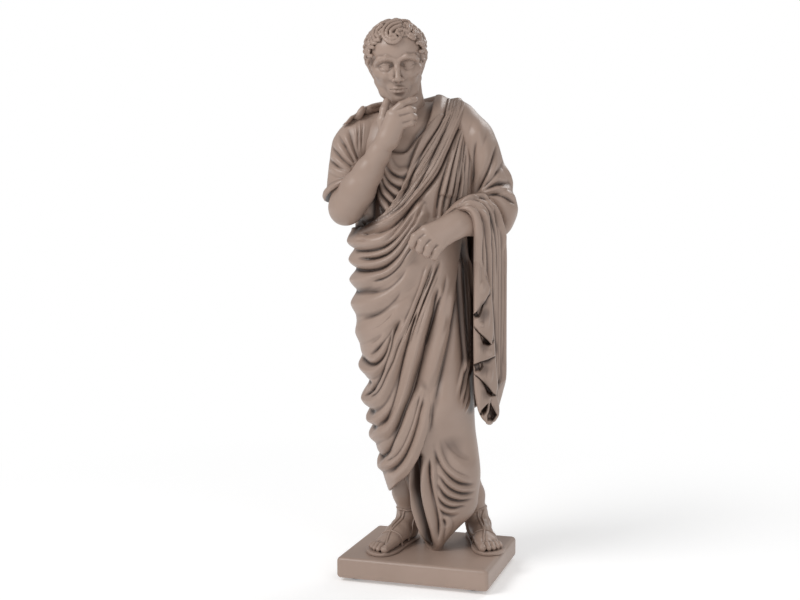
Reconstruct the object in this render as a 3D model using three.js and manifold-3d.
import * as THREE from "three";
import { RoundedBoxGeometry } from "three/addons/geometries/RoundedBoxGeometry.js";
import { mergeVertices } from "three/addons/utils/BufferGeometryUtils.js";
import Module from "manifold-3d";

// A draped, thinking philosopher on a rectangular plinth, about 300 mm tall, cast in resin in sections.
// The sections are joined on steel pins, and a threaded rod clamps the body down to the plinth.
// Millimetres, Z up, resting on four pads at Z = 0.
// The figure has its own frame: X to the viewer's right, Y away from the viewer, Z up from the plinth's
// underside. It is then turned on the plinth and set down on it.

const wasm = await Module();
wasm.setup();

// Driving sizes: plinth, pads and where the figure stands
const plinthWidth = 84;
const plinthDepth = 71;
const plinthHeight = 11.5;
const plinthEdgeRadius = 2.2;
const plinthX = 5.1;
const plinthY = 2.5;
const padRadius = 4;
const padHeight = 1.2;
const padInset = 9;
const figureTurn = 17.6;
const figureFromPlinthX = -17;

// Driving sizes: fits between pieces
const seatGap = 0.3;
const seamHeight = 184;

// Driving sizes: steel inside
const rodRadius = 2.5;
const rodX = 16;
const rodY = 2;
const rodTop = 228;
const washerRadius = 6;
const washerThickness = 1.2;
const nutAcrossFlats = 8;
const nutHeight = 4;
const counterboreRadius = 7.5;
const counterboreDepth = 7;
const legPinRadius = 1.2;
const legPinIntoPlinth = 8;
const neckPinRadius = 2;
const armPinRadius = 1.5;
const fallPinRadius = 1.25;
const waistPinRadius = 2;
const waistPinHalfLength = 9;
const waistPinX = -8;
const rodBeyondNut = 1.5;

// Driving sizes: cloth
const pointsAround = 54;
const frontShare = 0.26;
const ringStep = 4.2;
const sectionRoundness = 2.2;
const wrapThickness = 1.8;

// Folds are marked where a viewer's eye sees them, on the upright plane through the figure's axis.
const eyeDistance = 647;
const eyeHeight = 194.8;

// Outline of the draped body at each height: z, left, right, front, back. What lies below the seam belongs
// to the robe, what lies above it to the torso.
const bodySections = outlineRows([
  [38, -5, 42, -18.5, 19.5],
  [52, -9.5, 43, -21, 22],
  [65, -12.5, 42.5, -23.5, 23.5],
  [80, -16.2, 41.2, -25.2, 24.5],
  [95, -18.5, 40.4, -25.8, 25],
  [115, -20.5, 40.4, -25.5, 25],
  [130, -22.8, 40, -25, 24.5],
  [147, -24.2, 39, -24.5, 24],
  [165, -24.2, 37.5, -24, 23.5],
  [180, -25, 36.5, -23.5, 23],
  [195, -24.5, 36.5, -22, 22],
  [210, -22.5, 40, -21, 21],
  [225, -23, 42, -20, 20.5],
  [238, -23, 41.5, -18, 19.5],
  [247, -19, 40.5, -14.5, 17.5],
  [253, -12, 39.5, -10, 15],
  [257, -3, 37.5, -5, 12],
  [259.3, 6, 33, 0, 9],
]);
// The inner robe, which shows under the wrap's hem.
const innerSections = outlineRows([
  [10, 13.2, 23.4, -13.4, 8.5],
  [14, 11.3, 26, -15, 12],
  [20, 9.3, 30.6, -16.6, 14.5],
  [24, 8.2, 34.8, -17.2, 16],
  [30, 6.4, 41.2, -18, 18],
  [34, 5.6, 43.2, -18.3, 19],
  [40, 4.8, 44, -18.8, 19.5],
  [52, 1, 45, -21, 20.5],
  [65, -8, 43.8, -22, 21.5],
  [78, -13, 42, -23.4, 22.5],
  [100, -15, 41, -24, 23],
]);
const innerTop = 96;

// The wrap's lower hem, as [u, z] seen from the front and [x, z] from behind, and its front edge, right of
// which the wrap stops and the inner robe shows.
const hemFront = [[-60, 41], [-6, 42], [-3, 45], [5, 51.5], [10, 60], [13, 67], [15.5, 76], [17, 84], [62, 84]];
const hemBack = [[-60, 42.5], [-5, 44], [15, 47], [60, 54]];
const wrapEdge = [[37, 184], [35, 160], [31, 145], [28, 131], [25, 120], [22, 108], [19.5, 98], [16.5, 84]];

// Main folds of the body's cloth, as height, width and marks. A mark [u, z] is seen from the front,
// [x, z, "back"] from behind and [y, z, "left"] from the left.
const bodyRidges = [
  [3.6, 4.6, [[22, 257], [17.5, 243], [11, 228], [4.5, 213], [-3, 201], [-14, 192.5], [-23, 190]]],
  [3.8, 5, [[35, 257], [29, 242], [22, 225], [15, 212], [7, 201], [-3, 191.5], [-14, 188.5], [-24, 187.5]]],
  [2.8, 4.4, [[29, 257], [23, 242], [17, 228], [9, 212], [1, 199], [-8, 192.5]]],
  [2.6, 3.8, [[29, 228], [25.5, 214], [22.5, 199]]],
  [2.6, 3.8, [[34, 240], [30, 220], [28, 203]]],
  [1.8, 4, [[38, 246], [36.5, 228], [33, 208]]],
  [1.8, 4, [[-6, 224], [-5, 213], [1, 207]]],
  [2.6, 4.2, [[12, 203], [7, 195], [1, 188.5], [-6, 184.5], [-14, 182.5], [-22, 183], [-4, 184, "left"],
    [8, 186, "left"], [-16, 190, "back"], [0, 202, "back"], [16, 222, "back"], [27, 248, "back"]]],
  [2.6, 4, [[4, 186], [-2, 180], [-8, 175.5], [-15, 173.5], [-22, 172], [-6, 170, "left"],
    [8, 172, "left"], [-16, 178, "back"], [0, 190, "back"], [16, 208, "back"], [30, 240, "back"]]],
  [3.4, 4.4, [[3, 176], [-4, 167], [-13, 162.5], [-20, 160.5], [-6, 160, "left"], [8, 161, "left"],
    [-16, 165, "back"], [2, 178, "back"], [20, 202, "back"], [32, 232, "back"]]],
  [3.4, 5, [[4, 166], [-4, 156], [-12, 151], [-20, 147.5], [-6, 147, "left"], [8, 148, "left"],
    [-16, 151, "back"], [2, 164, "back"], [20, 190, "back"], [34, 220, "back"]]],
  [2.2, 4.6, [[3, 152], [-5, 142], [-12, 136], [-20, 132], [-4, 131, "left"], [10, 133, "left"],
    [-12, 139, "back"], [6, 156, "back"], [24, 186, "back"]]],
  [3.2, 4, [[4, 140], [0, 131], [-4, 121], [-8, 113], [-14, 110], [-20, 112], [-8, 113, "left"],
    [6, 114, "left"], [-14, 117, "back"], [4, 130, "back"], [22, 160, "back"], [34, 196, "back"]]],
  [3.6, 4.2, [[9, 142], [4, 131], [0, 120], [-4, 109], [-9, 98], [-14, 92.5], [-20, 92], [-8, 95, "left"],
    [6, 96, "left"], [-14, 100, "back"], [4, 114, "back"], [22, 146, "back"], [34, 184, "back"]]],
  [3, 4, [[18, 150], [12, 134], [8, 120], [5, 108], [2, 96], [-2, 85], [-7, 77], [-13, 73.5],
    [-6, 74, "left"], [8, 76, "left"], [-2, 80, "back"], [18, 100, "back"], [34, 150, "back"]]],
  [2.8, 4, [[14, 104], [10, 90], [6.5, 78], [2, 68], [-4, 60], [-10, 56.5], [-6, 57, "left"],
    [8, 59, "left"], [4, 64, "back"], [24, 84, "back"], [37, 130, "back"]]],
  [2.2, 4, [[18, 100], [14.5, 88], [12.5, 78], [9.5, 68], [5, 58.5], [-1, 51]]],
  [1.8, 4, [[24, 172], [18, 157], [13, 143], [9, 131]]],
];
const bodyCreases = [
  [2.4, 3.6, [[33, 243], [29, 232], [25, 219], [21, 205], [19, 194]]],
  [3, 4, [[37, 250], [29, 236], [22, 221], [13, 207], [5, 196], [-3, 184], [-12, 177], [-24, 176]]],
  [3, 4, [[8, 192], [3, 182], [-3, 174], [-10, 167], [-22, 165.5]]],
  [1.8, 4.5, [[-24, 153], [-14, 156], [-5, 162]]],
  [2.4, 3.6, [[21, 170], [16, 158], [11, 146], [5, 134], [0, 126], [-5, 115], [-11, 102], [-20, 95]]],
  [3.8, 5, [[24, 155], [20, 142], [15, 125], [11, 110], [6, 94], [0, 78], [-8, 63]]],
  [2.6, 4, [[7, 136], [2, 118], [-2, 98], [-8, 83], [-14, 80]]],
];
const innerRidges = [
  [2.2, 4, [[7.5, 58], [7, 44], [8, 32], [11, 20], [14.5, 10]]],
  [2.2, 3.6, [[13.5, 66], [13, 52], [14, 38], [16, 24], [18.5, 11]]],
  [1.8, 3.6, [[18.5, 71], [20.5, 60], [22, 48], [24, 38], [28, 32.5], [38, 33.5]]],
  [1.8, 3.6, [[20.5, 71], [24, 60], [27, 50], [30, 43.5], [35, 40.5], [41, 40.5]]],
  [3, 14, [[27, 92], [27, 86]]],
];

// Sleeves, mantle and neck as swelling tubes: centre, radius across and radius deep at each station.
const sleeveStations = [
  { at: [-14, 2, 238], across: 12, deep: 14 },
  { at: [-23, 1, 234], across: 13.5, deep: 13 },
  { at: [-27, -1, 224], across: 11.8, deep: 12 },
  { at: [-29, -5, 213], across: 11.8, deep: 12 },
];
// The mantle over the left arm: z, left, right, front, back
const mantleSections = outlineRows([
  [182.5, 50.5, 55.5, -5, 2],
  [186, 44.5, 59.5, -9.5, 6],
  [192, 41, 63, -13, 10],
  [199, 39, 64.8, -14.5, 12.5],
  [207, 37, 62.5, -14.5, 14],
  [215, 35, 59.8, -14.5, 15],
  [225, 32, 56.8, -14.5, 16.5],
  [237, 28, 53, -14.5, 17],
  [245, 24, 49, -12.5, 16],
  [251, 20, 43, -9, 14],
  [255.5, 19, 38.8, -6, 11],
  [258.6, 21, 34, -2, 7],
]);
const mantleForearmStations = [
  { at: [51, -2, 199], across: 11, deep: 11.5 },
  { at: [47, -13, 193.5], across: 9.2, deep: 9.2 },
  { at: [41.5, -23, 191.5], across: 7.6, deep: 7.6 },
];
const neckRollStations = [
  { at: [-22, 2, 247], across: 4, deep: 4 },
  { at: [-13, 6, 251], across: 4, deep: 4 },
  { at: [0, 13, 253], across: 4, deep: 5 },
  { at: [14, 9, 254], across: 4.5, deep: 5 },
];
const neckStations = [
  { at: [6, 4, 243], across: 10, deep: 9.6 },
  { at: [4.5, 0, 254], across: 9.2, deep: 9.2 },
  { at: [1, -7, 266], across: 9, deep: 9.4 },
];

// Head, in its own frame with the face towards -Y, and its pose on the neck
const headX = -1.7;
const headY = -12;
const headZ = 278.2;
const headNod = 17;
const headRoll = -5;
const hairThickness = 2.9;
const hairBumpHeight = 1;
const hairBumpsAround = 13;
const hairBumpsUp = 1.05;
const headSections = [
  { z: -19.5, x: 0, y: -11.5, wide: 4.8, deep: 4.6 },
  { z: -16, x: 0, y: -7.5, wide: 8.6, deep: 10 },
  { z: -10, x: 0, y: -3.5, wide: 11.8, deep: 14.3 },
  { z: -3, x: 0, y: -1, wide: 13.6, deep: 17 },
  { z: 5, x: 0, y: 0, wide: 14.4, deep: 18.2 },
  { z: 13, x: 0, y: 1, wide: 13.8, deep: 17.6 },
  { z: 18, x: 0, y: 1.5, wide: 10.4, deep: 13.8 },
  { z: 20.8, x: 0, y: 2, wide: 5, deep: 7 },
];
const hairLine = [[-30, 10.5], [-13, 10.5], [-8, 7], [-4.5, -1], [-1, -9], [3, -14], [8, -18], [-30, -30]];
const noseStations = [
  { at: [0, -17.2, 4.5], across: 1.3, deep: 1.4 },
  { at: [0, -19.4, -1], across: 1.6, deep: 1.9 },
  { at: [0, -20.8, -5.5], across: 2.5, deep: 2.1 },
];
const earStations = [
  { at: [14.6, 1.5, 3], across: 1.8, deep: 2.8 },
  { at: [15.4, 1, -2], across: 1.7, deep: 2.7 },
  { at: [13.8, -0.5, -7], across: 1.4, deep: 2 },
];
const browStations = [
  { at: [-9.5, -14.2, 4.6], across: 1.6, deep: 1.6 },
  { at: [0, -17, 5], across: 1.6, deep: 1.6 },
  { at: [9.5, -14.2, 4.6], across: 1.6, deep: 1.6 },
];

// Right arm: forearm from the elbow up to the hand at the chin
const upperArmStations = [
  { at: [-28.5, -3, 212], across: 9, deep: 9.5 },
  { at: [-29, -9, 204.5], across: 9.2, deep: 9.8 },
];
const forearmStations = [
  { at: [-28, -12, 203.5], across: 9.6, deep: 9.8 },
  { at: [-23, -16.5, 211.5], across: 9.2, deep: 9.4 },
  { at: [-16, -22, 223.5], across: 7, deep: 7.4 },
  { at: [-8, -27.5, 236], across: 4.9, deep: 4.6 },
  { at: [-4, -29, 242], across: 5.8, deep: 4.2 },
  { at: [-1, -29.5, 246.5], across: 6, deep: 3.8 },
];
const chinHandFingers = [
  { name: "index", radius: 1.9, path: [[-3.5, -30.5, 249], [2.5, -30.5, 252.8], [7, -26.5, 255.8]] },
  { name: "thumb", radius: 2, path: [[-6, -28, 245], [-7.6, -26.5, 250], [-6.8, -23, 254.5]] },
  { name: "middle", radius: 1.95, path: [[-0.5, -31.5, 247.8], [5, -31.5, 250], [6, -28, 249]] },
  { name: "ring", radius: 1.9, path: [[0.5, -31.3, 245], [5.8, -31.2, 246.4], [6.4, -28, 245.5]] },
  { name: "little", radius: 1.75, path: [[1, -30.6, 242.2], [5.8, -30.2, 242.9], [6.2, -27.5, 242.4]] },
];

// Left hand, hanging relaxed out of the mantle
const leftHandStations = [
  { at: [39, -28.5, 194.2], across: 5.2, deep: 5 },
  { at: [32, -35.5, 192.6], across: 5, deep: 4.4 },
  { at: [25, -39, 189.5], across: 6, deep: 4 },
  { at: [17, -41.5, 185.5], across: 6.6, deep: 3.6 },
];
const leftHandFingers = [
  { name: "index", radius: 1.95, path: [[13, -42, 187], [7, -43, 184], [5.6, -41.5, 179.5]] },
  { name: "middle", radius: 1.95, path: [[14.5, -42, 184], [10.5, -43, 181], [9.4, -41.5, 176.5]] },
  { name: "ring", radius: 1.9, path: [[16.5, -42, 181.5], [14, -43, 178.5], [13.2, -41.5, 174.5]] },
  { name: "little", radius: 1.8, path: [[19.5, -41.5, 180], [18.4, -42, 176.5], [17.8, -41, 173]] },
  { name: "thumb", radius: 2, path: [[24, -37.5, 187], [19, -36.5, 182.5], [16.5, -37, 178.5]] },
];

// The fall of cloth that hangs over the left forearm
const fallSections = [
  { z: 81, x: 49.5, y: -15, wide: 4.5, deep: 3.4 },
  { z: 88, x: 49, y: -14, wide: 9.5, deep: 4.6 },
  { z: 100, x: 49, y: -12.5, wide: 15, deep: 4.8 },
  { z: 125, x: 49, y: -12, wide: 16.5, deep: 4.6 },
  { z: 150, x: 49, y: -12, wide: 16.5, deep: 4.4 },
  { z: 175, x: 49, y: -12, wide: 15.5, deep: 4.6 },
  { z: 190, x: 49, y: -12.5, wide: 14, deep: 5.4 },
];
const fallTurn = 60;
const fallPleats = 5;
const fallPleatDepth = 1.3;
const fallSaddleStations = [
  { at: [50, -13, 178], across: 9, deep: 3.4 },
  { at: [50, -17.5, 190], across: 9, deep: 3.4 },
  { at: [46, -21, 200], across: 9, deep: 3.2 },
  { at: [38, -19.5, 203], across: 8.5, deep: 3.2 },
  { at: [31, -15, 198], across: 7, deep: 3.2 },
];

// The cloak behind the fall, from the body's back out to the fall's outer edge, as centre and half sizes.
const curtainSections = [
  { z: 88, x: 45, y: 12, wide: 8.5, deep: 2.6 },
  { z: 100, x: 46, y: 11.5, wide: 11, deep: 2.8 },
  { z: 118, x: 46, y: 11, wide: 13, deep: 2.8 },
  { z: 150, x: 45.5, y: 11, wide: 13.5, deep: 2.8 },
  { z: 188, x: 44.5, y: 11, wide: 13.5, deep: 2.8 },
];
const curtainTurn = -14;
// The fall's front edge lies in ledges, each over the next: the top and bottom of each, at [x, y, z].
const fallLedges = [
  [[43, -25, 182], [46.5, -23.5, 150]],
  [[43.5, -24.5, 154], [47, -23, 131]],
  [[44, -24, 136], [47.5, -22.5, 118]],
  [[44, -23.5, 122], [46.5, -22, 104]],
  [[44.5, -22.5, 108], [48, -20.5, 88]],
];
const ledgeTop = 1.6;
const ledgeBottom = 4.6;
const ledgeThickness = 1.9;

// Feet and shins. Each foot lies along its own line from heel to toes, on a flat sandal sole.
const soleThickness = 1.8;
const footSections = [
  { along: -19, high: 3.5, wide: 4.4, tall: 4.2 },
  { along: -12, high: 5, wide: 5, tall: 6.4 },
  { along: -3, high: 5.2, wide: 5.4, tall: 6.6 },
  { along: 6, high: 3.8, wide: 6.6, tall: 5 },
  { along: 14, high: 2.4, wide: 7.4, tall: 3.4 },
  { along: 20, high: 1.8, wide: 6.6, tall: 2.4 },
];
const rightFoot = { x: -1.5, y: -4, heading: 25 };
const leftFoot = { x: 46, y: -0.5, heading: -13 };
const rightShinStations = [
  { at: [4.5, 7.5, 20], across: 4.6, deep: 5.4 },
  { at: [4, 6.5, 29], across: 4.5, deep: 5 },
  { at: [2.6, 5, 40], across: 6.4, deep: 6.8 },
  { at: [1, 3, 56], across: 8, deep: 8 },
];
const leftShinStations = [
  { at: [44, 10.5, 20], across: 4.6, deep: 5.4 },
  { at: [43.5, 9, 28], across: 4.5, deep: 5 },
  { at: [40.5, 6, 38], across: 6, deep: 6.6 },
  { at: [36, 2, 52], across: 7.6, deep: 8 },
];

// Helpers: numbers between table rows, and points

// Rows of z, left, right, front, back as centres and half sizes.
function outlineRows(rows) {
  return rows.map(([z, left, right, front, back]) => ({
    z,
    x: (left + right) / 2,
    y: (front + back) / 2,
    wide: (right - left) / 2,
    deep: (back - front) / 2,
  }));
}

function rowAt(rows, z) {
  const last = rows.length - 1;
  let i = 0;
  while (i < last - 1 && z > rows[i + 1].z) i++;
  const t = THREE.MathUtils.clamp((z - rows[i].z) / (rows[i + 1].z - rows[i].z), 0, 1);
  const row = { z };
  for (const key of ["x", "y", "wide", "deep"]) {
    const slope = (a, b) => (rows[b][key] - rows[a][key]) / (rows[b].z - rows[a].z);
    const span = rows[i + 1].z - rows[i].z;
    const inSlope = slope(Math.max(i - 1, 0), i + 1) * span;
    const outSlope = slope(i, Math.min(i + 2, last)) * span;
    row[key] =
      rows[i][key] * (2 * t ** 3 - 3 * t ** 2 + 1) +
      inSlope * (t ** 3 - 2 * t ** 2 + t) +
      rows[i + 1][key] * (3 * t ** 2 - 2 * t ** 3) +
      outSlope * (t ** 3 - t ** 2);
  }
  return row;
}

// A point of a section, angle 0 towards the viewer and a quarter turn to the viewer's right.
function sectionPoint(row, angle, grow = 0) {
  const power = 2 / sectionRoundness;
  const s = Math.sin(angle);
  const c = Math.cos(angle);
  return new THREE.Vector3(
    row.x + (row.wide + grow) * Math.sign(s) * Math.abs(s) ** power,
    row.y - (row.deep + grow) * Math.sign(c) * Math.abs(c) ** power,
    row.z,
  );
}

function outwardOf(row, point) {
  return new THREE.Vector3((point.x - row.x) / row.wide ** 2, (point.y - row.y) / row.deep ** 2, 0).normalize();
}

// The point of a stack of sections that shows at a mark.
function onStack(sections, [across, z, side = "front"]) {
  const sectionEdge = (share) => (1 - Math.abs(share) ** sectionRoundness) ** (1 / sectionRoundness);
  const limit = (share) => THREE.MathUtils.clamp(share, -0.999, 0.999);
  if (side === "left") {
    const row = rowAt(sections, z);
    return new THREE.Vector3(row.x - sectionEdge(limit((across - row.y) / row.deep)) * row.wide, across, z);
  }
  const point = new THREE.Vector3(across, 0, z);
  for (let pass = 0; pass < 4; pass++) {
    const row = rowAt(sections, point.z);
    const reach = sectionEdge(limit((point.x - row.x) / row.wide)) * row.deep;
    point.y = side === "back" ? row.y + reach : row.y - reach;
    if (side === "front") {
      const scale = (eyeDistance + point.y) / eyeDistance;
      point.x = across * scale;
      point.z = eyeHeight - (eyeHeight - z) * scale;
    }
  }
  return point;
}

// Helpers: solids

function closedGeometry(points, faces) {
  const geometry = new THREE.BufferGeometry().setFromPoints(points);
  geometry.setIndex(faces);
  return geometry;
}

// A closed surface over rings of equal count, with a fan over each end. Each face is split along its
// shorter diagonal, so that folds keep smooth crests.
function ringGeometry(rings) {
  const count = rings[0].length;
  const points = rings.flat();
  const faces = [];
  for (let r = 0; r < rings.length - 1; r++) {
    for (let k = 0; k < count; k++) {
      const a = r * count + k;
      const b = r * count + ((k + 1) % count);
      const [up, over] = [a + count, b + count];
      if (points[a].distanceTo(points[over]) < points[b].distanceTo(points[up])) {
        faces.push(a, b, over, a, over, up);
      } else {
        faces.push(a, b, up, b, over, up);
      }
    }
  }
  for (const [r, turned] of [[0, true], [rings.length - 1, false]]) {
    const middle = new THREE.Vector3();
    rings[r].forEach((p) => middle.addScaledVector(p, 1 / count));
    points.push(middle);
    for (let k = 0; k < count; k++) {
      const a = r * count + k;
      const b = r * count + ((k + 1) % count);
      if (turned) faces.push(b, a, points.length - 1);
      else faces.push(a, b, points.length - 1);
    }
  }
  return closedGeometry(points, faces);
}

function solidOf(geometry) {
  const bare = (geometry.index ? geometry.toNonIndexed() : geometry.clone()).deleteAttribute("normal");
  const merged = mergeVertices(bare.deleteAttribute("uv"), 1e-4);
  const solid = new wasm.Manifold(
    new wasm.Mesh({
      numProp: 3,
      vertProperties: merged.attributes.position.array,
      triVerts: new Uint32Array(merged.index.array),
    }),
  );
  return solid;
}

function geometryOf(solid) {
  const mesh = solid.getMesh();
  const geometry = new THREE.BufferGeometry();
  geometry.setAttribute("position", new THREE.BufferAttribute(mesh.vertProperties, 3));
  geometry.setIndex(new THREE.BufferAttribute(mesh.triVerts, 1));
  geometry.computeVertexNormals();
  return geometry;
}

// The largest of the separate pieces that a cut leaves.
function mainBody(solid) {
  return solid.decompose().reduce((best, s) => (s.volume() > best.volume() ? s : best));
}

function foldLines(sections, folds) {
  return folds.map(([height, width, marks]) => {
    const curve = new THREE.CatmullRomCurve3(marks.map((mark) => onStack(sections, mark)));
    const points = curve.getSpacedPoints(Math.ceil(curve.getLength() / 2));
    return { height, width, points };
  });
}

// The highest of the ridges, or the deepest of the creases, at a point.
function foldHeight(lines, point) {
  let height = 0;
  for (const line of lines) {
    const nearest = Math.min(...line.points.map((p) => p.distanceToSquared(point)));
    height = Math.max(height, line.height * Math.exp(-nearest / (0.4 * line.width * line.width)));
  }
  return height;
}

// How far the body's cloth stands off its outline: folds, and the wrap's edge over the inner robe.
function bodyLift() {
  const ridges = foldLines(bodySections, bodyRidges);
  const creases = foldLines(bodySections, bodyCreases);
  const edge = wrapEdge.map((mark) => onStack(bodySections, mark));
  return (point) => {
    const lift = foldHeight(ridges, point) - foldHeight(creases, point);
    const row = edge.findIndex((p) => p.z < point.z);
    if (row < 1 || point.y > 0) return lift;
    const share = (point.z - edge[row].z) / (edge[row - 1].z - edge[row].z);
    const edgeX = THREE.MathUtils.lerp(edge[row].x, edge[row - 1].x, share);
    return lift - wrapThickness * THREE.MathUtils.smoothstep(point.x - edgeX, -1, 2);
  };
}

// A closed stack of sections, between two heights if these are given.
// Crowd brings its points closer together at the front.
function stackSolid(sections, { around, step = ringStep, crowd = 0, lift = () => 0, grow = 0, from, to } = {}) {
  const low = from ?? sections[0].z;
  const high = to ?? sections[sections.length - 1].z;
  const ringCount = Math.max(2, Math.round((high - low) / step));
  const rings = [];
  for (let r = 0; r <= ringCount; r++) {
    const row = rowAt(sections, low + ((high - low) * r) / ringCount);
    const ring = [];
    for (let k = 0; k < around; k++) {
      const turn = Math.PI - (2 * Math.PI * k) / around;
      const point = sectionPoint(row, turn - crowd * Math.sin(turn));
      ring.push(point.addScaledVector(outwardOf(row, point), lift(point) + grow));
    }
    if (r === 0) ring.forEach((p) => (p.z -= grow));
    if (r === ringCount) ring.forEach((p) => (p.z += grow));
    rings.push(ring.reverse());
  }
  return solidOf(ringGeometry(rings));
}

// A swelling tube through its stations, with domed ends.
function tubeSolid(stations, { around = 12, perSpan = 2, grow = 0, side = [0, 1, 0] } = {}) {
  const curve = new THREE.CatmullRomCurve3(stations.map((s) => new THREE.Vector3(...s.at)), false, "centripetal");
  const spans = stations.length - 1;
  const rings = [];
  const ringAt = (t, share, push) => {
    const i = Math.min(Math.floor(t * spans), spans - 1);
    const f = t * spans - i;
    const across = THREE.MathUtils.lerp(stations[i].across, stations[i + 1].across, f) + grow;
    const deep = THREE.MathUtils.lerp(stations[i].deep, stations[i + 1].deep, f) + grow;
    const along = curve.getTangent(t);
    const wide = new THREE.Vector3(...side).cross(along).normalize();
    const thick = along.clone().cross(wide);
    const centre = curve.getPoint(t).addScaledVector(along, push * Math.min(across, deep));
    const ring = [];
    for (let k = 0; k < around; k++) {
      const angle = (2 * Math.PI * k) / around;
      ring.push(
        centre
          .clone()
          .addScaledVector(wide, share * across * Math.cos(angle))
          .addScaledVector(thick, share * deep * Math.sin(angle)),
      );
    }
    rings.push(ring);
  };
  const dome = [70, 35].map(THREE.MathUtils.degToRad);
  dome.forEach((a) => ringAt(0, Math.cos(a), -Math.sin(a)));
  for (let k = 0; k <= spans * perSpan; k++) ringAt(k / (spans * perSpan), 1, 0);
  [...dome].reverse().forEach((a) => ringAt(1, Math.cos(a), Math.sin(a)));
  return solidOf(ringGeometry(rings));
}

function fingerSolid({ radius, path }, grow) {
  const stations = path.map((at, i) => ({ at, across: radius * (1 - 0.08 * i), deep: radius * (1 - 0.08 * i) }));
  return tubeSolid(stations, { around: 6, perSpan: 1, grow, side: [0.3, 0.2, 1] });
}

function rodSolid(from, to, radius, sides = 20) {
  const start = new THREE.Vector3(...from);
  const end = new THREE.Vector3(...to);
  const geometry = new THREE.CylinderGeometry(radius, radius, start.distanceTo(end), sides);
  const turn = new THREE.Quaternion().setFromUnitVectors(
    new THREE.Vector3(0, 1, 0),
    end.clone().sub(start).normalize(),
  );
  geometry.applyQuaternion(turn).translate(...start.add(end).multiplyScalar(0.5).toArray());
  return solidOf(geometry);
}

// A straight prism along Y between two depths, over an outline [x, z].
function windowSolid(outline, front, back) {
  const shape = new THREE.Shape(outline.map(([x, z]) => new THREE.Vector2(x, z)));
  const geometry = new THREE.ExtrudeGeometry(shape, { depth: back - front, bevelEnabled: false });
  return solidOf(geometry.rotateX(Math.PI / 2).translate(0, back, 0));
}

function slabSolid(lowZ, highZ) {
  const reach = 160;
  return solidOf(new THREE.BoxGeometry(reach, reach, highZ - lowZ).translate(0, 0, (lowZ + highZ) / 2));
}

// The castings. Each takes how far it is grown, so that its neighbours can be cut to clear it.

function rightArm(grow = 0) {
  const upperArm = tubeSolid(upperArmStations, { around: 14, grow });
  let solid = tubeSolid(forearmStations, { around: 14, grow, side: [0.4, 0.9, 0] }).add(upperArm);
  for (const finger of chinHandFingers) solid = solid.add(fingerSolid(finger, grow));
  return solid;
}

function leftHand(grow = 0) {
  let solid = tubeSolid(leftHandStations, { grow, side: [0, 1, 0.3] });
  for (const finger of leftHandFingers) solid = solid.add(fingerSolid(finger, grow));
  return solid;
}

function head(grow = 0) {
  const hairLift = (p) =>
    hairThickness + hairBumpHeight * Math.cos(hairBumpsAround * Math.atan2(p.x, -p.y)) * Math.cos(p.z * hairBumpsUp);
  const face = new THREE.Shape(hairLine.map(([y, z]) => new THREE.Vector2(y, z)));
  const faceCut = new THREE.ExtrudeGeometry(face, { depth: 60, bevelEnabled: false });
  faceCut.applyMatrix4(
    new THREE.Matrix4().makeBasis(
      new THREE.Vector3(0, 1, 0),
      new THREE.Vector3(0, 0, 1),
      new THREE.Vector3(1, 0, 0),
    ),
  ).translate(-30, 0, 0);
  const hair = stackSolid(headSections, { around: 36, step: 3.2, lift: hairLift, grow }).subtract(solidOf(faceCut));
  const mirrored = (stations) => stations.map((s) => ({ ...s, at: [-s.at[0], s.at[1], s.at[2]] }));
  const small = { around: 8, perSpan: 1, grow };
  return stackSolid(headSections, { around: 20, step: 4.4, grow })
    .add(hair)
    .add(tubeSolid(noseStations, small))
    .add(tubeSolid(browStations, { ...small, side: [0, 0, 1] }))
    .add(tubeSolid(earStations, small))
    .add(tubeSolid(mirrored(earStations), small))
    .rotate([headNod, headRoll, 0])
    .translate([headX, headY, headZ])
    .add(tubeSolid(neckStations, { around: 14, grow }));
}

function footAndShin({ x, y, heading }, shinStations, grow = 0) {
  const turn = THREE.MathUtils.degToRad(heading);
  const forward = new THREE.Vector3(-Math.sin(turn), -Math.cos(turn), 0);
  const floor = plinthHeight + seatGap;
  const place = (along, high) =>
    new THREE.Vector3(x, y, floor + soleThickness + high).addScaledVector(forward, along).toArray();
  const stations = footSections.map((s) => ({ at: place(s.along, s.high), across: s.wide, deep: s.tall }));
  const foot = tubeSolid(stations, { perSpan: 1, grow });
  const outline = new THREE.Shape();
  const heel = footSections[0];
  const ball = footSections[4];
  outline.absarc(0, heel.along, heel.wide + 1, Math.PI, 0);
  outline.bezierCurveTo(heel.wide + 2, -4, ball.wide + 1, 2, ball.wide + 1.2, ball.along);
  outline.absarc(0, ball.along, ball.wide + 1.2, 0, Math.PI);
  outline.bezierCurveTo(-ball.wide - 1, 2, -heel.wide - 2, -4, -heel.wide - 1, heel.along);
  const sole = new THREE.ExtrudeGeometry(outline, {
    depth: soleThickness + 2 * grow,
    bevelEnabled: false,
    curveSegments: 6,
  });
  sole.rotateZ(Math.PI - turn).translate(x, y, floor - grow);
  return foot
    .add(solidOf(sole))
    .add(tubeSolid(shinStations, { grow }))
    .subtract(slabSolid(-20, floor - grow));
}

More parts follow.
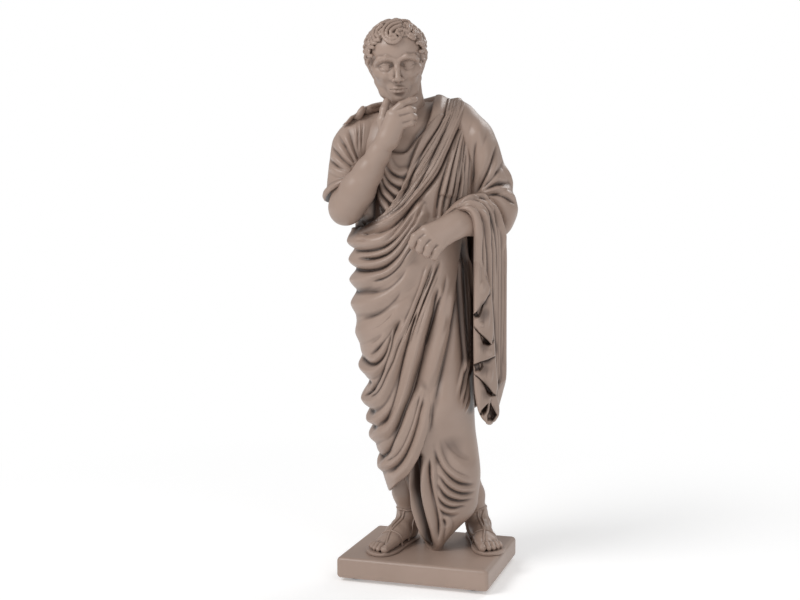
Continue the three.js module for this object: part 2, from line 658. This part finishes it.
function togaFall(grow = 0) {
  const straight = fallSections.map((s) => ({ ...s, x: 0, y: 0 }));
  const pleat = (p) => fallPleatDepth * (Math.cos((p.x / 16.5) * Math.PI * fallPleats) - 0.4);
  const centre = fallSections[3];
  const sheet = stackSolid(straight, { around: 30, step: 13, lift: pleat, grow });
  const curtainMiddle = curtainSections[3];
  const curtain = stackSolid(
    curtainSections.map((s) => ({ ...s, x: s.x - curtainMiddle.x, y: s.y - curtainMiddle.y })),
    { around: 18, step: 17, grow },
  ).rotate([0, 0, curtainTurn]).translate([curtainMiddle.x, curtainMiddle.y, 0]);
  let solid = sheet
    .rotate([0, 0, fallTurn])
    .translate([centre.x, centre.y, 0])
    .add(curtain)
    .add(tubeSolid(fallSaddleStations, { grow, side: [0.5, 0.85, 0] }));
  for (const [top, bottom] of fallLedges) {
    const stations = [
      { at: top, across: ledgeThickness, deep: ledgeTop },
      { at: bottom, across: ledgeThickness, deep: ledgeBottom },
    ];
    solid = solid.add(tubeSolid(stations, { around: 8, perSpan: 1, grow, side: [0.6, 0.8, 0] }));
  }
  return solid;
}

function torso(grow = 0) {
  const floor = seamHeight + seatGap;
  const cloth = stackSolid(bodySections, {
    from: floor,
    around: pointsAround,
    crowd: frontShare,
    lift: bodyLift(),
    grow,
  });
  const below = [[-34, 150], [34, 150], [34, floor - grow], [-34, floor - grow]];
  return cloth
    .add(tubeSolid(sleeveStations, { around: 16, grow }))
    .add(stackSolid(mantleSections, { around: 26, step: 6, grow }))
    .add(tubeSolid(mantleForearmStations, { around: 14, grow }))
    .add(tubeSolid(neckRollStations, { around: 10, perSpan: 1, grow }))
    .subtract(windowSolid(below, -60, 60));
}

function robe() {
  const wrapBottom = 40;
  const hem = hemFront.map((mark) => onStack(bodySections, mark)).map((p) => [p.x, p.z]);
  const under = (line) => [[line[0][0], wrapBottom - 5], ...line, [line.at(-1)[0], wrapBottom - 5]];
  const wrap = stackSolid(bodySections, {
    from: wrapBottom,
    to: seamHeight,
    around: pointsAround,
    crowd: frontShare,
    lift: bodyLift(),
  })
    .subtract(windowSolid(under(hem), -60, 0))
    .subtract(windowSolid(under(hemBack), -0.01, 60));
  const ridges = foldLines(innerSections, innerRidges);
  const inner = stackSolid(innerSections, {
    from: plinthHeight + seatGap,
    to: innerTop,
    around: 38,
    step: 5.6,
    crowd: frontShare,
    lift: (p) => foldHeight(ridges, p),
  });
  return wrap.add(inner);
}

// Steel pins and the rod, each from one end to the other in the figure's frame
const pins = {
  armature_rod: {
    from: [rodX, rodY, counterboreDepth - nutHeight - rodBeyondNut],
    to: [rodX, rodY, rodTop],
    radius: rodRadius,
  },
  waist_pin: {
    from: [waistPinX, 0, seamHeight - waistPinHalfLength],
    to: [waistPinX, 0, seamHeight + waistPinHalfLength],
    radius: waistPinRadius,
  },
  right_leg_pin: {
    from: [4.2, 7, plinthHeight - legPinIntoPlinth],
    to: [4.2, 7, 72],
    radius: legPinRadius,
  },
  left_leg_pin: {
    from: [44, 9.5, plinthHeight - legPinIntoPlinth],
    to: [39, 5.5, 46],
    radius: legPinRadius,
  },
  neck_pin: { from: [6.5, 4, 232], to: [0, -8.5, 270], radius: neckPinRadius },
  elbow_pin: { from: [-22, 0, 224], to: [-28.5, -8.5, 204], radius: armPinRadius },
  wrist_pin: { from: [46.5, -15, 190.5], to: [30, -36, 191], radius: armPinRadius },
  fall_pin_upper: { from: [43, -14, 198], to: [47, -22.5, 199], radius: fallPinRadius },
  fall_pin_lower: { from: [50.5, -9.5, 179], to: [51.5, -6, 192], radius: fallPinRadius },
};
const pinSolid = ({ from, to, radius }, grow = 0) => {
  const axis = new THREE.Vector3(...to).sub(new THREE.Vector3(...from)).normalize().multiplyScalar(grow);
  const start = new THREE.Vector3(...from).sub(axis).toArray();
  const end = new THREE.Vector3(...to).add(axis).toArray();
  return rodSolid(start, end, radius + grow, 12);
};
const pinHoles = Object.values(pins).map((pin) => pinSolid(pin, seatGap));

// Later castings in this list are cut to clear the earlier ones, and all are drilled for the pins.
const castings = [
  { name: "right_forearm", make: rightArm },
  { name: "left_hand", make: leftHand },
  { name: "head", make: head },
  { name: "right_foot", make: (grow) => footAndShin(rightFoot, rightShinStations, grow) },
  { name: "left_foot", make: (grow) => footAndShin(leftFoot, leftShinStations, grow) },
  { name: "toga_fall", make: togaFall },
  { name: "torso", make: torso },
  { name: "robe", make: robe },
];

const resin = new THREE.MeshStandardMaterial({ color: 0x988578, roughness: 0.5, metalness: 0 });
const steel = new THREE.MeshStandardMaterial({ color: 0xb4b6b8, roughness: 0.35, metalness: 1 });
const rubber = new THREE.MeshStandardMaterial({ color: 0x2a2827, roughness: 0.9, metalness: 0 });

function meshOf(name, solid, material) {
  const mesh = new THREE.Mesh(geometryOf(solid), material);
  mesh.name = name;
  return mesh;
}

const figure = new THREE.Group();
figure.position.set(plinthX + figureFromPlinthX, plinthY, padHeight);
figure.rotation.z = THREE.MathUtils.degToRad(figureTurn);

castings.forEach(({ name, make }, i) => {
  let solid = make(0);
  for (const earlier of castings.slice(0, i)) solid = solid.subtract(earlier.make(seatGap));
  for (const hole of pinHoles) solid = solid.subtract(hole);
  figure.add(meshOf(name, mainBody(solid), resin));
});
for (const [name, pin] of Object.entries(pins)) figure.add(meshOf(name, pinSolid(pin), steel));

// Nut and washer under the plinth, on the rod
const washerTop = counterboreDepth - seatGap;
const washer = rodSolid([rodX, rodY, washerTop - washerThickness], [rodX, rodY, washerTop], washerRadius, 28);
const nutTop = washerTop - washerThickness - seatGap;
const nutRadius = nutAcrossFlats / 2 / Math.cos(Math.PI / 6);
const nut = rodSolid([rodX, rodY, nutTop - nutHeight], [rodX, rodY, nutTop], nutRadius, 6);
const rodHole = pinSolid({ ...pins.armature_rod, from: [rodX, rodY, -2] }, seatGap);
figure.add(meshOf("rod_washer", washer.subtract(rodHole), steel));
figure.add(meshOf("rod_nut", nut.subtract(rodHole), steel));

// The plinth is drilled in the figure's frame, so the holes line up with the rod and pins.
const plinthGeometry = new RoundedBoxGeometry(plinthWidth, plinthDepth, plinthHeight, 2, plinthEdgeRadius);
plinthGeometry.translate(-figureFromPlinthX, 0, plinthHeight / 2).rotateZ(-figure.rotation.z);
let plinthSolid = solidOf(plinthGeometry);
plinthSolid = plinthSolid.subtract(rodSolid([rodX, rodY, -5], [rodX, rodY, counterboreDepth], counterboreRadius, 32));
for (const hole of [rodHole, ...pinHoles]) plinthSolid = plinthSolid.subtract(hole);
figure.add(meshOf("plinth", plinthSolid, resin));

const statue = new THREE.Group();
statue.add(figure);
for (const [name, sideX, sideY] of [
  ["pad_front_left", -1, -1],
  ["pad_front_right", 1, -1],
  ["pad_back_left", -1, 1],
  ["pad_back_right", 1, 1],
]) {
  const pad = new THREE.Mesh(new THREE.CylinderGeometry(padRadius, padRadius, padHeight, 24), rubber);
  pad.name = name;
  pad.rotation.x = Math.PI / 2;
  pad.position.set(
    plinthX + sideX * (plinthWidth / 2 - padInset),
    plinthY + sideY * (plinthDepth / 2 - padInset),
    padHeight / 2,
  );
  statue.add(pad);
}

export default statue;
